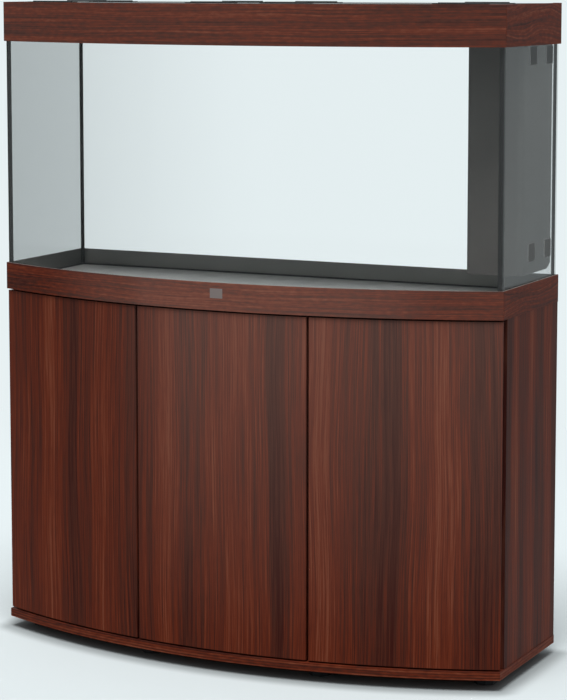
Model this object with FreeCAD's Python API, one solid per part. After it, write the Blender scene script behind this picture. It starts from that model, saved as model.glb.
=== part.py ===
import FreeCAD, Part
import math
import os
from FreeCAD import Placement, Rotation, Vector

# Bow-fronted aquarium with hood and filter on a three-door cabinet.
# Millimetres. Origin: centre of the footprint, on the floor. +Z up, the bowed front faces -Y.

# ---------------------------------------------------------------- plan outline
WIDTH = 1210.0            # overall width
DEPTH = 460.0             # overall depth at the middle of the bow
BOW = 126.0               # how far the front stands out at the middle
CORNER_R = 1.5            # softened upright corners of boards and bands

# ---------------------------------------------------------------- levels
FOOT_H = 25.0
BOARD_T = 18.0            # cabinet boards
DOOR_H = 739.0
DOOR_GAP_Z = 4.0          # above and below the doors
FRAME_H = 60.0            # tank's base frame
GLASS_SHOW = 503.0        # glass between base frame and hood
HOOD_H = 88.0             # decor band of the hood

# ---------------------------------------------------------------- cabinet
FOOT_W = 44.0
FOOT_BEVEL = 12.0         # corners of the eight-sided feet
FOOT_FROM_SIDE = 54.0     # middle of the outer feet from the sides
FOOT_FROM_EDGE = 72.0     # middles of the feet from the front and rear edges
PANEL_INSET = 1.0         # side panels behind the outline
BACK_T = 8.0
BACK_INSET = 3.0          # rear panel behind the rear edge of the boards
HOSE_D = 60.0             # openings for hoses and cables
HOSE_BELOW_TOP = 110.0    # their centres below the top board
SHELF_T = 16.0
SHELF_LEVEL = 335.0       # underside of the shelves above the base board
SHELF_SETBACK = 28.0      # shelf's front edge behind the partitions' front edges
SHELF_PLAY = 1.0
SUPPORT = (12.0, 14.0, 12.0)  # shelf supports: out of the board, width, height
SUPPORT_LIP = 4.0         # height of a support's outer edge
SUPPORT_EDGE = 40.0       # middles of the supports from the shelf's front and rear edges

# ---------------------------------------------------------------- doors
DOOR_T = 16.0
DOOR_SETBACK = 4.0        # door face behind the outline
DOOR_BACK_GAP = 4.0       # between a door and the edges behind it
DOOR_JOINT = 5.0          # between neighbouring doors
DOOR_EDGE_R = 3.0
SEAT_GAP = 0.3            # flat plates stand this far off the hollow back of a door
HINGE_FROM_END = 110.0    # hinge height from the top or bottom of a door

# ---------------------------------------------------------------- concealed cup hinge
CUP_D = 35.0
CUP_DEPTH = 12.5
CUP_WALL = 1.0
CHEEK = 20.0              # between the cup's cheeks, which hold the pin
CUP_FROM_EDGE = 3.5       # cup's rim to the end of the door
CUP_PLAY = 0.1
WING_W = 14.0             # screw wings above and below the cup
WING_SPAN = 60.0
WING_T = 1.2
PIVOT_IN = 9.5            # pin from the end of the door
HINGE_PIN_D = 3.0
HINGE_PLAY = 0.06         # radial, pin to eye
EYE_D = 6.4
ARM_T = 3.0
ARM_H = 13.0
ARM_REACH = 16.0          # crank, inboard of the pin
ARM_DROP = 1.1            # crank starts this far in front of the pin
ARM_BACK = 17.0           # crank, behind the pin
ARM_LANDING = 20.0        # arm meets the panel this far behind the pin
ARM_PLATE_L = 46.0
ARM_PLATE_H = 40.0

# ---------------------------------------------------------------- push catches
CATCH_LEVEL = 430.0       # above the base board
CATCH_W = 14.0
CATCH_H = 20.0
CATCH_L = 66.0
PLUNGER_W = 9.0           # square plunger
PLUNGER_L = 50.0
PLUNGER_PLAY = 0.08
NOSE = 2.0                # chamfer round the plunger's nose
NOSE_GAP = 0.3            # nose to strike plate
PLUNGE = 3.0              # travel
PLUNGE_SPARE = 0.6        # nose left out of the housing at full travel
STRIKE = (16.0, 24.0, 1.0)  # strike plate: width, height, thickness

# ---------------------------------------------------------------- tank
BAND_T = 2.0              # decor band on base frame and hood
FRAME_WALL = 2.6
GLASS_PLAY = 0.4          # frame and hood walls to the glass
PANE_T = 8.0
BOTTOM_T = 10.0
LEDGE_UP = 10.0           # underside of the base frame's ledge above its foot
LEDGE_T = 3.0
LEDGE_W = 40.0
SEAM = 1.5                # silicone between panes
SEAM_FILLET = 4.0         # silicone bead in the corners
BAND_RETURN = 20.0        # decor bands turn this far round the rear corners
GLASS_IN_HOOD = 32.0      # panes reach into the hood
BRACE_W = 80.0
BRACE_BELOW_TOP = 6.0
BADGE = (30.0, 21.0, 1.0)  # blank plate: width, height, thickness
BADGE_UP = 37.0           # its middle above the foot of the base frame

# ---------------------------------------------------------------- filter
FILTER_W = 122.0
FILTER_D = 190.0
FILTER_WALL = 2.5
FILTER_CLEAR = 54.0       # above the tank's bottom pane
FILTER_PAD_T = 2.0        # silicone pads to the side pane
FILTER_PAD = (38.0, 38.0)  # depth, height
PAD_FROM_FRONT = 40.0     # front pads behind the filter's front
PAD_FROM_END = 3.0        # pads above the heel and below the hood
FILTER_REAR_GAP = 3.0
FILTER_R = 12.0           # upright corners
FILTER_HEEL = (70.0, 24.0)  # rounding of the lower rear edge: depth, height
HEEL_BULGE = (0.25, 0.3)  # middle of that rounding, as shares of its depth and height
FILTER_TOP = 12.0         # lid below the top of the glass
LID_T = 3.0
SLOT = (60.0, 3.0)        # inlet slots: length, height
SLOT_STEP = 8.0
SLOT_ROWS = 4
SLOTS_BELOW_LID = 60.0    # lowest of the upper slots
OUTLET_D = 16.0
OUTLET_BORE = 11.0
OUTLET_OUT = 22.0
PUMP = (46.0, 60.0, 78.0)
PUMP_FROM_LID = 6.0
BASKET_WALL = 2.0
BASKET_H = 130.0
BASKET_D = 112.0
BASKET_LEDGE = 6.0
BASKET_BEVEL = 11.0       # corners of baskets and pump, clear of the housing's round corners
SPONGE_LOW = 4.0          # sponge below the rim of its basket
INSIDE_PLAY = 0.5
IMPELLER_D = 32.0
IMPELLER_L = 15.0
HEATER_D = 24.0
HEATER_L = 220.0
HEATER_HEAD = (30.0, 40.0)  # head above the shelf: diameter, height
HOLE_PLAY = 2.0           # shelf's holes for impeller and heater, over their diameters

# ---------------------------------------------------------------- hood
REST_GAP = 0.3            # hood above the rim of the glass, flap above its ledge
FLANGE_T = 3.0
FLANGE_W = 15.0
DECK_T = 5.5
DECK_DROP = 1.0           # deck below the top of the band
RIM_W = 18.0              # deck's rim round the flaps
LIGHT_STRIP = 150.0       # fixed strip of deck over the light unit
STRIP_OFFSET = 0.0
FLAP_T = 3.0
FLAP_GAP = 0.8
FLAP_LEDGE = 8.0
BARREL_D = 8.0
BARREL_L = 100.0
BARREL_PLAY = 0.06
EAR_L = 12.0              # ears at both ends of a barrel: along the pin, across it, above the deck
EAR_W = 7.0
EAR_UP = 2.0
EAR_GAP = 0.5
FLAP_PIN_D = 3.0
CLIP_MOUTH = 2.4          # slot by which a barrel snaps on its pin
BARREL_FROM_END = 90.0    # barrel's middle from the end of a flap
CABLE_COVER = (74.0, 62.0, 11.0)
COVER_R = 3.0
LIGHT_END_GAP = 40.4      # light unit to the hood's end walls
LIGHT_W = 110.0
LIGHT_H = 42.0
LIGHT_WALL = 2.5
END_BLOCK = 45.0
TUBE_D = 16.0
TUBE_SPACING = 52.0
CAP_D = 22.0
CAP_L = 9.0
GLAND_D = 16.0
GLAND_BORE = 7.0
GLAND_L = 12.0

# ================================================================ worked out from the above
ARC_R = ((WIDTH / 2) ** 2 + BOW ** 2) / (2 * BOW)
ARC_CY = -DEPTH / 2 + ARC_R
REAR = DEPTH / 2

Z_BOARD = FOOT_H
Z_FLOOR = Z_BOARD + BOARD_T
Z_DOOR = Z_FLOOR + DOOR_GAP_Z
Z_FRAME = Z_DOOR + DOOR_H + DOOR_GAP_Z
Z_TOP_BOARD = Z_FRAME - BOARD_T
Z_RIM = Z_FRAME + FRAME_H
Z_HOOD = Z_RIM + GLASS_SHOW
Z_HOOD_TOP = Z_HOOD + HOOD_H
Z_BOTTOM = Z_FRAME + LEDGE_UP + LEDGE_T
Z_PANES = Z_BOTTOM + BOTTOM_T
Z_GLASS_TOP = Z_HOOD + GLASS_IN_HOOD
Z_DECK = Z_HOOD_TOP - DECK_DROP

FACE_R = ARC_R - DOOR_SETBACK                           # door faces
EDGE_INSET = DOOR_SETBACK + DOOR_T + DOOR_BACK_GAP      # front edges of panels and partitions
PANEL_X = WIDTH / 2 - PANEL_INSET                       # outer faces of the side panels
BAY_X = PANEL_X - BOARD_T                               # their inner faces
BACK_Y = REAR - BACK_INSET - BACK_T                     # front face of the rear panel
END_ANGLE = math.asin(PANEL_X / FACE_R)                 # ends of the outer doors, from the middle
JOINT_ANGLE = END_ANGLE / 3
PARTITION_X = FACE_R * math.sin(JOINT_ANGLE)            # middles of the partitions
HALF_JOINT = DOOR_JOINT / 2 / FACE_R
GLASS_INSET = BAND_T + FRAME_WALL + GLASS_PLAY
GLASS_X = WIDTH / 2 - GLASS_INSET
TANK_X = GLASS_X - PANE_T
TANK_REAR = REAR - GLASS_INSET - PANE_T
FILTER_X1 = TANK_X - FILTER_PAD_T
FILTER_X0 = FILTER_X1 - FILTER_W
FILTER_Y1 = TANK_REAR - FILTER_REAR_GAP
FILTER_Y0 = FILTER_Y1 - FILTER_D
Z_FILTER = Z_PANES + FILTER_CLEAR
Z_LID = Z_GLASS_TOP - FILTER_TOP - LID_T
OUTLET_X = FILTER_X0 + FILTER_WALL + INSIDE_PLAY + PUMP[0] / 2
OUTLET_Z = Z_HOOD + OUTLET_D / 2
PUMP_Y = FILTER_Y0 + FILTER_WALL + INSIDE_PLAY + PUMP[1] / 2
Z_PUMP_SHELF = Z_LID - PUMP_FROM_LID - PUMP[2]
HEATER_X = FILTER_X1 - FILTER_R - HEATER_HEAD[0] / 2
HEATER_Y = FILTER_Y0 + FILTER_R + HEATER_HEAD[0] / 2
LIGHT_X = WIDTH / 2 - BAND_T - FRAME_WALL - LIGHT_END_GAP   # ends of the light unit


# ================================================================ shape helpers
def box(x0, x1, y0, y1, z0, z1):
    return Part.makeBox(x1 - x0, y1 - y0, z1 - z0, Vector(x0, y0, z0))


def rod(x, y, z, diameter, length, axis=Vector(0, 0, 1)):
    return Part.makeCylinder(diameter / 2, length, Vector(x, y, z), axis)


def mirrored(shape):
    """The same piece for the other side of the aquarium."""
    return shape.mirror(Vector(0, 0, 0), Vector(1, 0, 0))


def front_y(x, inset=0.0):
    """Y of the bowed front at x, set back by inset."""
    return ARC_CY - math.sqrt((ARC_R - inset) ** 2 - x * x)


def bow(front, side, rear, z0, z1):
    """A prism of the bowed outline, set in by the three given amounts."""
    hx = WIDTH / 2 - side
    back = REAR - rear
    left = Vector(-hx, front_y(hx, front), z0)
    right = Vector(hx, left.y, z0)
    middle = Vector(0, front_y(0, front), z0)
    edges = [
        Part.Arc(left, middle, right).toShape(),
        Part.makeLine(right, Vector(hx, back, z0)),
        Part.makeLine(Vector(hx, back, z0), Vector(-hx, back, z0)),
        Part.makeLine(Vector(-hx, back, z0), left),
    ]
    return Part.Face(Part.Wire(edges)).extrude(Vector(0, 0, z1 - z0))


def bow_ring(outer, inner, z0, z1):
    """A ring that follows the outline between two insets."""
    return bow(outer, outer, outer, z0, z1).cut(bow(inner, inner, inner, z0, z1))


def on_arc(radius, angle, z=0.0):
    """The point at a radius and an angle from the middle, on the bow's centre."""
    return Vector(radius * math.sin(angle), ARC_CY - radius * math.cos(angle), z)


def arc_board(r_out, r_in, a0, a1, z0, z1):
    """A curved board between two radii and two angles."""
    mid = (a0 + a1) / 2
    edges = [
        Part.Arc(on_arc(r_out, a0, z0), on_arc(r_out, mid, z0), on_arc(r_out, a1, z0)).toShape(),
        Part.makeLine(on_arc(r_out, a1, z0), on_arc(r_in, a1, z0)),
        Part.Arc(on_arc(r_in, a1, z0), on_arc(r_in, mid, z0), on_arc(r_in, a0, z0)).toShape(),
        Part.makeLine(on_arc(r_in, a0, z0), on_arc(r_out, a0, z0)),
    ]
    return Part.Face(Part.Wire(edges)).extrude(Vector(0, 0, z1 - z0))


def upright(edge):
    """True for a straight vertical edge."""
    if not isinstance(edge.Curve, Part.Line):
        return False
    return abs(edge.Curve.Direction.z) > 0.999


def soften(shape, radius):
    """Rounds every upright edge."""
    return shape.makeFillet(radius, [e for e in shape.Edges if upright(e)])


def bevel(shape, size):
    """Cuts off every upright edge."""
    return shape.makeChamfer(size, [e for e in shape.Edges if upright(e)])


def strap(points, thickness, z0, z1):
    """A flat bar on edge that follows points in plan, with mitred corners."""
    along = [(b - a).normalize() for a, b in zip(points, points[1:])]
    along = [along[0]] + along + [along[-1]]
    left, right = [], []
    for p, before, after in zip(points, along, along[1:]):
        turn = (before + after).normalize()
        out = Vector(-turn.y, turn.x, 0) * (thickness / 2 / turn.dot(before))
        left.append(p + out)
        right.append(p - out)
    outline = [Vector(p.x, p.y, z0) for p in left + right[::-1] + left[:1]]
    return Part.Face(Part.makePolygon(outline)).extrude(Vector(0, 0, z1 - z0))


def at_door(angle, z=0.0):
    """Places a piece drawn with X along the door, Y into the cabinet and its zero on the door's face."""
    return Placement(on_arc(FACE_R, angle, z), Rotation(Vector(0, 0, 1), math.degrees(angle)))


# ================================================================ cabinet
def base_board():
    return soften(bow(0, 0, 0, Z_BOARD, Z_FLOOR), CORNER_R)


def trim_front(shape, extra=0.0):
    """Cuts a board's front edge to the bow, a door and its gap behind the outline."""
    return shape.common(bow(EDGE_INSET + extra, 0, 0, 0, Z_HOOD_TOP))


BAY_LOW = PARTITION_X + BOARD_T / 2      # the side bays run from here to BAY_X


def side_panel():
    return trim_front(box(BAY_X, PANEL_X, -DEPTH, REAR - PANEL_INSET, Z_FLOOR, Z_FRAME))


def partition():
    return trim_front(box(PARTITION_X - BOARD_T / 2, BAY_LOW, -DEPTH, BACK_Y, Z_FLOOR, Z_TOP_BOARD))


def top_board():
    return trim_front(box(-BAY_X, BAY_X, -DEPTH, REAR - PANEL_INSET, Z_TOP_BOARD, Z_FRAME))


def back_panel():
    panel = box(-BAY_X, BAY_X, BACK_Y, BACK_Y + BACK_T, Z_FLOOR, Z_TOP_BOARD)
    bay_middle = (BAY_LOW + BAY_X) / 2
    for x in (-bay_middle, 0, bay_middle):
        panel = panel.cut(rod(x, BACK_Y, Z_TOP_BOARD - HOSE_BELOW_TOP, HOSE_D, BACK_T, Vector(0, 1, 0)))
    return panel


def shelf():
    z0 = Z_FLOOR + SHELF_LEVEL
    board = box(BAY_LOW + SHELF_PLAY, BAY_X - SHELF_PLAY, -DEPTH, BACK_Y - SHELF_PLAY, z0, z0 + SHELF_T)
    return trim_front(board, SHELF_SETBACK)


def shelf_support(x, direction, y):
    """A moulded support that stands out of the board at x and tapers below the shelf."""
    reach, width, height = SUPPORT
    z = Z_FLOOR + SHELF_LEVEL
    side = [Vector(x, y - width / 2, z), Vector(x + direction * reach, y - width / 2, z),
            Vector(x + direction * reach, y - width / 2, z - SUPPORT_LIP),
            Vector(x, y - width / 2, z - height), Vector(x, y - width / 2, z)]
    return Part.Face(Part.makePolygon(side)).extrude(Vector(0, width, 0))


def shelf_supports():
    """Four supports under each shelf, on the side panel and the partition."""
    front = front_y(BAY_X, EDGE_INSET) + SHELF_SETBACK + SUPPORT_EDGE
    made = []
    for y in (front, BACK_Y - SUPPORT_EDGE):
        made.append(shelf_support(BAY_LOW, 1, y))
        made.append(shelf_support(BAY_X, -1, y))
    return Part.makeCompound(made + [mirrored(s) for s in made])


def feet():
    """Eight-sided feet near the sides and under the partitions, front and rear."""
    made = []
    half = FOOT_W / 2
    for x in (WIDTH / 2 - FOOT_FROM_SIDE, PARTITION_X):
        for y in (front_y(x, FOOT_FROM_EDGE), REAR - FOOT_FROM_EDGE):
            made.append(bevel(box(x - half, x + half, y - half, y + half, 0, FOOT_H), FOOT_BEVEL))
    return Part.makeCompound(made + [mirrored(f) for f in made])


# ================================================================ doors and their hinges
def hinge_levels():
    return (Z_DOOR + HINGE_FROM_END, Z_DOOR + DOOR_H - HINGE_FROM_END)


def door_back(width):
    """Where a flat piece of that width seats on the hollow back of a door, behind its face."""
    radius = FACE_R - DOOR_T
    return DOOR_T + SEAT_GAP + radius - math.sqrt(radius ** 2 - (width / 2) ** 2)


CUP_IN = CUP_FROM_EDGE + CUP_D / 2       # cup's middle from the end of the door
PIVOT_T = PIVOT_IN - CUP_IN              # pin from the cup's middle, along the door
PIVOT_N = DOOR_T / 2                     # pin behind the door's face
WING_Y = door_back(WING_W)               # underside of the cup's wings
STRIKE_Y = door_back(STRIKE[0])          # underside of the strike plate


def cup_angle(end_angle):
    """Angle of a cup whose door begins at end_angle."""
    return end_angle + CUP_IN / FACE_R


def pivot_point(end_angle):
    """Plan position of the hinge line."""
    return at_door(cup_angle(end_angle)).multVec(Vector(PIVOT_T, PIVOT_N, 0))


def hinge_cup():
    """Cup with screw wings, flat cheeks above and below the arm and the pin across them."""
    face = DOOR_T - CUP_DEPTH
    body = rod(0, face, 0, CUP_D, WING_Y + WING_T - face, Vector(0, 1, 0))
    wing = box(-WING_W / 2, WING_W / 2, WING_Y, WING_Y + WING_T, -WING_SPAN / 2, WING_SPAN / 2)
    inside = rod(0, face + CUP_WALL, 0, CUP_D - 2 * CUP_WALL, CUP_D, Vector(0, 1, 0))
    inside = inside.common(box(-CUP_D, CUP_D, 0, CUP_D, -CHEEK / 2, CHEEK / 2))
    pin = rod(PIVOT_T, PIVOT_N, -CHEEK / 2, HINGE_PIN_D, CHEEK)
    return body.fuse(wing).cut(inside).fuse(pin).removeSplitter()


def placed(shape, angle, z):
    copy = shape.copy()
    copy.Placement = at_door(angle, z)
    return copy


def door_panel(a0, a1, cup_a):
    """A curved door, bored for its hinge cups."""
    door = soften(arc_board(FACE_R, FACE_R - DOOR_T, a0, a1, Z_DOOR, Z_DOOR + DOOR_H), DOOR_EDGE_R)
    bore = rod(0, DOOR_T - CUP_DEPTH, 0, CUP_D + 2 * CUP_PLAY, CUP_D, Vector(0, 1, 0))
    for z in hinge_levels():
        door = door.cut(placed(bore, cup_a, z))
    return door


def strike_plate(angle):
    """A plate on the back of the door, which the catch presses on."""
    w, h, t = STRIKE
    plate = box(-w / 2, w / 2, STRIKE_Y, STRIKE_Y + t, -h / 2, h / 2)
    return placed(plate, angle, Z_FLOOR + CATCH_LEVEL)


def hinge_arm(end_angle, x_face):
    """Cranked arm: eye on the pin, round the door's end, plate on the face of a board at x_face."""
    place = at_door(cup_angle(end_angle))
    pivot = pivot_point(end_angle)
    crank = [Vector(PIVOT_T, PIVOT_N, 0), Vector(PIVOT_T + ARM_REACH, PIVOT_N - ARM_DROP, 0),
             Vector(PIVOT_T + ARM_REACH, PIVOT_N + ARM_BACK, 0)]
    path = [place.multVec(p) for p in crank]
    x_arm = x_face + ARM_T / 2
    path.append(Vector(x_arm, pivot.y + ARM_LANDING, 0))
    path.append(Vector(x_arm, pivot.y + ARM_LANDING + ARM_PLATE_L, 0))
    arm = strap(path, ARM_T, -ARM_H / 2, ARM_H / 2)
    eye = rod(pivot.x, pivot.y, -ARM_H / 2, EYE_D, ARM_H)
    plate = box(x_face, x_face + ARM_T, path[3].y, path[4].y, -ARM_PLATE_H / 2, ARM_PLATE_H / 2)
    arm = arm.multiFuse([eye, plate])
    arm = arm.cut(rod(pivot.x, pivot.y, -ARM_H, HINGE_PIN_D + 2 * HINGE_PLAY, 2 * ARM_H))
    return arm.removeSplitter()


def hinge_arms():
    arms = []
    side = hinge_arm(-END_ANGLE, -BAY_X)
    centre = hinge_arm(-JOINT_ANGLE + HALF_JOINT, -PARTITION_X + BOARD_T / 2)
    for z in hinge_levels():
        for arm in (side, centre, mirrored(side)):
            lifted = arm.copy()
            lifted.translate(Vector(0, 0, z))
            arms.append(lifted)
    return Part.makeCompound(arms)


# ================================================================ push catches
def catch_x(side):
    """Middle of the catch on the inboard (-1) or outboard (+1) face of a partition at +X."""
    return PARTITION_X + side * (BOARD_T / 2 + CATCH_W / 2)


CATCHES = {"left": -catch_x(1), "centre": catch_x(-1), "right": catch_x(1)}


def nose_y(x):
    """Front of a plunger's nose, just clear of the strike plate in front of it."""
    inset = DOOR_SETBACK + STRIKE_Y + STRIKE[2]
    half = PLUNGER_W / 2 - NOSE
    return max(front_y(x - half, inset), front_y(x + half, inset)) + NOSE_GAP


def plunger(x):
    y = nose_y(x)
    z = Z_FLOOR + CATCH_LEVEL
    half = PLUNGER_W / 2
    bar = box(x - half, x + half, y, y + PLUNGER_L, z - half, z + half)
    nose = [e for e in bar.Edges if e.BoundBox.YMax < y + NOSE]
    return bar.makeChamfer(NOSE, nose)


def catch_housing(x):
    z = Z_FLOOR + CATCH_LEVEL
    y = nose_y(x) + PLUNGE + PLUNGE_SPARE
    half = PLUNGER_W / 2 + PLUNGER_PLAY
    housing = box(x - CATCH_W / 2, x + CATCH_W / 2, y, y + CATCH_L, z - CATCH_H / 2, z + CATCH_H / 2)
    return housing.cut(box(x - half, x + half, y, y + PLUNGER_L, z - half, z + half))


# ================================================================ tank
def base_frame():
    """Channel moulding: outer wall, ledge that carries the glass and inner wall."""
    wall_in = BAND_T + FRAME_WALL
    outer = bow_ring(BAND_T, wall_in, Z_FRAME, Z_RIM)
    ledge = bow_ring(wall_in, wall_in + LEDGE_W, Z_FRAME + LEDGE_UP, Z_BOTTOM)
    inner = bow_ring(wall_in + LEDGE_W - FRAME_WALL, wall_in + LEDGE_W, Z_FRAME, Z_FRAME + LEDGE_UP)
    return outer.multiFuse([ledge, inner]).removeSplitter()


def decor_band(z0, z1):
    """Decor strip round the front and sides, turned round the rear corners."""
    ring = soften(bow(0, 0, 0, z0, z1), CORNER_R).cut(bow(BAND_T, BAND_T, BAND_T, z0, z1))
    gap_x = WIDTH / 2 - BAND_RETURN
    return ring.cut(box(-gap_x, gap_x, REAR - 2 * BAND_T, REAR, z0, z1))


def badge_plate():
    """Blank plate, let in flush."""
    w, h, t = BADGE
    z = Z_FRAME + BADGE_UP
    y = front_y(0)
    plate = box(-w / 2, w / 2, y - t, y + t, z - h / 2, z + h / 2)
    return plate.common(bow(0, 0, 0, Z_FRAME, Z_RIM))


def base_frame_band():
    return decor_band(Z_FRAME, Z_RIM).cut(badge_plate())


def bottom_pane():
    return bow(GLASS_INSET, GLASS_INSET, GLASS_INSET, Z_BOTTOM, Z_PANES)


def front_pane():
    outer = bow(GLASS_INSET, GLASS_INSET, GLASS_INSET, Z_PANES, Z_GLASS_TOP)
    return outer.cut(bow(GLASS_INSET + PANE_T, 0, 0, Z_PANES, Z_GLASS_TOP))


def rear_pane():
    return box(-GLASS_X, GLASS_X, TANK_REAR, TANK_REAR + PANE_T, Z_PANES, Z_GLASS_TOP)


def side_pane():
    pane = box(TANK_X, GLASS_X, -DEPTH, TANK_REAR - SEAM, Z_PANES, Z_GLASS_TOP)
    return pane.common(bow(GLASS_INSET + PANE_T + SEAM, 0, 0, Z_PANES, Z_GLASS_TOP))


def corner_bead(x, y, toward_y):
    """Upright triangular bead in a corner of the tank, on the inner face of the +X pane."""
    a = Vector(x, y, Z_PANES)
    b = Vector(x - SEAM_FILLET, y, Z_PANES)
    c = Vector(x, y + toward_y * SEAM_FILLET, Z_PANES)
    return Part.Face(Part.makePolygon([a, b, c, a])).extrude(Vector(0, 0, Z_GLASS_TOP - Z_PANES))


def silicone_seams():
    """Joints between the panes and beads in the corners, in one run."""
    inset = GLASS_INSET + PANE_T
    layer = box(TANK_X, GLASS_X, -DEPTH, TANK_REAR, Z_PANES, Z_GLASS_TOP)
    layer = layer.common(bow(inset, 0, 0, Z_PANES, Z_GLASS_TOP)).cut(side_pane())
    front = front_y(TANK_X - SEAM_FILLET, inset)
    front_bead = corner_bead(TANK_X, front, 1).fuse(
        box(TANK_X - SEAM_FILLET, TANK_X, -DEPTH, front, Z_PANES, Z_GLASS_TOP)
    ).common(bow(inset, 0, 0, Z_PANES, Z_GLASS_TOP))
    rear_bead = corner_bead(TANK_X, TANK_REAR, -1)
    right = layer.multiFuse([front_bead, rear_bead])
    skirting = bow(inset, inset, inset, Z_PANES, Z_PANES + SEAM_FILLET)
    skirting = skirting.cut(bow(inset + SEAM_FILLET, inset + SEAM_FILLET, inset + SEAM_FILLET,
                                Z_PANES, Z_PANES + SEAM_FILLET))
    return skirting.multiFuse([right, mirrored(right)]).removeSplitter()


def cross_brace():
    z1 = Z_GLASS_TOP - BRACE_BELOW_TOP
    brace = box(-BRACE_W / 2, BRACE_W / 2, -DEPTH, TANK_REAR, z1 - PANE_T, z1)
    return brace.common(bow(GLASS_INSET + PANE_T, 0, 0, Z_PANES, Z_GLASS_TOP))


# ================================================================ filter


def filter_form(inset, z0, z1):
    """The filter's body: rounded upright corners and a swept heel at the lower rear edge."""
    x0, x1 = FILTER_X0 + inset, FILTER_X1 - inset
    y0, y1 = FILTER_Y0 + inset, FILTER_Y1 - inset
    form = soften(box(x0, x1, y0, y1, z0, z1), FILTER_R - inset)
    depth, height = FILTER_HEEL
    low = Vector(x0, y1 - depth, z0)
    high = Vector(x0, y1, z0 + height)
    bulge = Vector(x0, y1 - depth * HEEL_BULGE[0], z0 + height * HEEL_BULGE[1])
    edges = [Part.Arc(low, bulge, high).toShape(),
             Part.makeLine(high, Vector(x0, y1, z0)),
             Part.makeLine(Vector(x0, y1, z0), low)]
    heel = Part.Face(Part.Wire(edges)).extrude(Vector(x1 - x0, 0, 0))
    return form.cut(heel)


def filter_inside():
    """Divider, ledges under the lower basket and the shelf that carries pump and heater."""
    x0, x1, y0, _, z0 = basket_space(0, 0)
    inner_x0, inner_x1 = FILTER_X0 + FILTER_WALL, FILTER_X1 - FILTER_WALL
    divider_y = y0 - INSIDE_PLAY
    divider = box(inner_x0, inner_x1, divider_y - FILTER_WALL, divider_y,
                  Z_FILTER + FILTER_HEEL[1], Z_PUMP_SHELF)
    ledges = [box(a, b, divider_y - FILTER_WALL, FILTER_Y1 - FILTER_R, z0 - FILTER_WALL, z0)
              for a, b in ((inner_x0, x0 + BASKET_LEDGE), (x1 - BASKET_LEDGE, inner_x1))]
    shelf_plate = box(inner_x0, inner_x1, FILTER_Y0 + FILTER_WALL, divider_y,
                      Z_PUMP_SHELF - FILTER_WALL, Z_PUMP_SHELF)
    shelf_plate = shelf_plate.common(filter_form(FILTER_WALL, Z_FILTER, Z_LID))
    for x, y, diameter in ((OUTLET_X, PUMP_Y, IMPELLER_D), (HEATER_X, HEATER_Y, HEATER_D)):
        shelf_plate = shelf_plate.cut(rod(x, y, Z_FILTER, diameter + HOLE_PLAY, Z_LID - Z_FILTER))
    return [divider, shelf_plate] + ledges


def filter_housing():
    shell = filter_form(0, Z_FILTER, Z_LID)
    shell = shell.cut(filter_form(FILTER_WALL, Z_FILTER + FILTER_WALL, Z_LID))
    shell = shell.multiFuse(filter_inside())
    slot_l, slot_h = SLOT
    mid_y = (FILTER_Y0 + FILTER_Y1) / 2
    for base in (Z_FILTER + FILTER_HEEL[1] + SLOT_STEP, Z_LID - SLOTS_BELOW_LID):
        for row in range(SLOT_ROWS):
            z = base + row * SLOT_STEP
            shell = shell.cut(box(FILTER_X0, FILTER_X0 + FILTER_WALL,
                                  mid_y - slot_l / 2, mid_y + slot_l / 2, z, z + slot_h))
    return shell.cut(rod(OUTLET_X, FILTER_Y0, OUTLET_Z, OUTLET_D, FILTER_WALL, Vector(0, 1, 0)))




def filter_lid():
    lid = soften(box(FILTER_X0, FILTER_X1, FILTER_Y0, FILTER_Y1, Z_LID, Z_LID + LID_T), FILTER_R)
    finger = rod((FILTER_X0 + FILTER_X1) / 2, FILTER_Y0, Z_LID, 2 * FILTER_R, LID_T)
    return lid.cut(finger)


def filter_pads():
    """Silicone pads that hold the filter to the side pane."""
    pad_y, pad_z = FILTER_PAD
    pads = []
    for y in (FILTER_Y0 + PAD_FROM_FRONT, FILTER_Y1 - FILTER_R - pad_y):
        for z in (Z_FILTER + FILTER_HEEL[1] + PAD_FROM_END, Z_HOOD - pad_z - PAD_FROM_END):
            pads.append(box(FILTER_X1, TANK_X, y, y + pad_y, z, z + pad_z))
    return Part.makeCompound(pads)


def basket_space(level, inset):
    """Space of basket number level from the bottom, or of what lies in it."""
    x0 = FILTER_X0 + FILTER_WALL + INSIDE_PLAY + inset
    x1 = FILTER_X1 - FILTER_WALL - INSIDE_PLAY - inset
    y1 = FILTER_Y1 - FILTER_WALL - INSIDE_PLAY - inset
    y0 = FILTER_Y1 - FILTER_WALL - INSIDE_PLAY - BASKET_D + inset
    z0 = Z_FILTER + FILTER_WALL + FILTER_HEEL[1] + level * BASKET_H
    return x0, x1, y0, y1, z0


def filter_baskets():
    made = []
    w = BASKET_WALL
    for level in (0, 1):
        x0, x1, y0, y1, z0 = basket_space(level, 0)
        basket = bevel(box(x0, x1, y0, y1, z0, z0 + BASKET_H), BASKET_BEVEL)
        inside = bevel(box(x0 + w, x1 - w, y0 + w, y1 - w, z0 + w, z0 + BASKET_H), BASKET_BEVEL - w)
        made.append(basket.cut(inside))
    return Part.makeCompound(made)


def filter_sponges():
    """Filter media, one block in each basket."""
    made = []
    for level in (0, 1):
        x0, x1, y0, y1, z0 = basket_space(level, BASKET_WALL)
        block = box(x0, x1, y0, y1, z0 + BASKET_WALL, z0 + BASKET_H - SPONGE_LOW)
        made.append(bevel(block, BASKET_BEVEL - BASKET_WALL))
    return Part.makeCompound(made)


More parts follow.
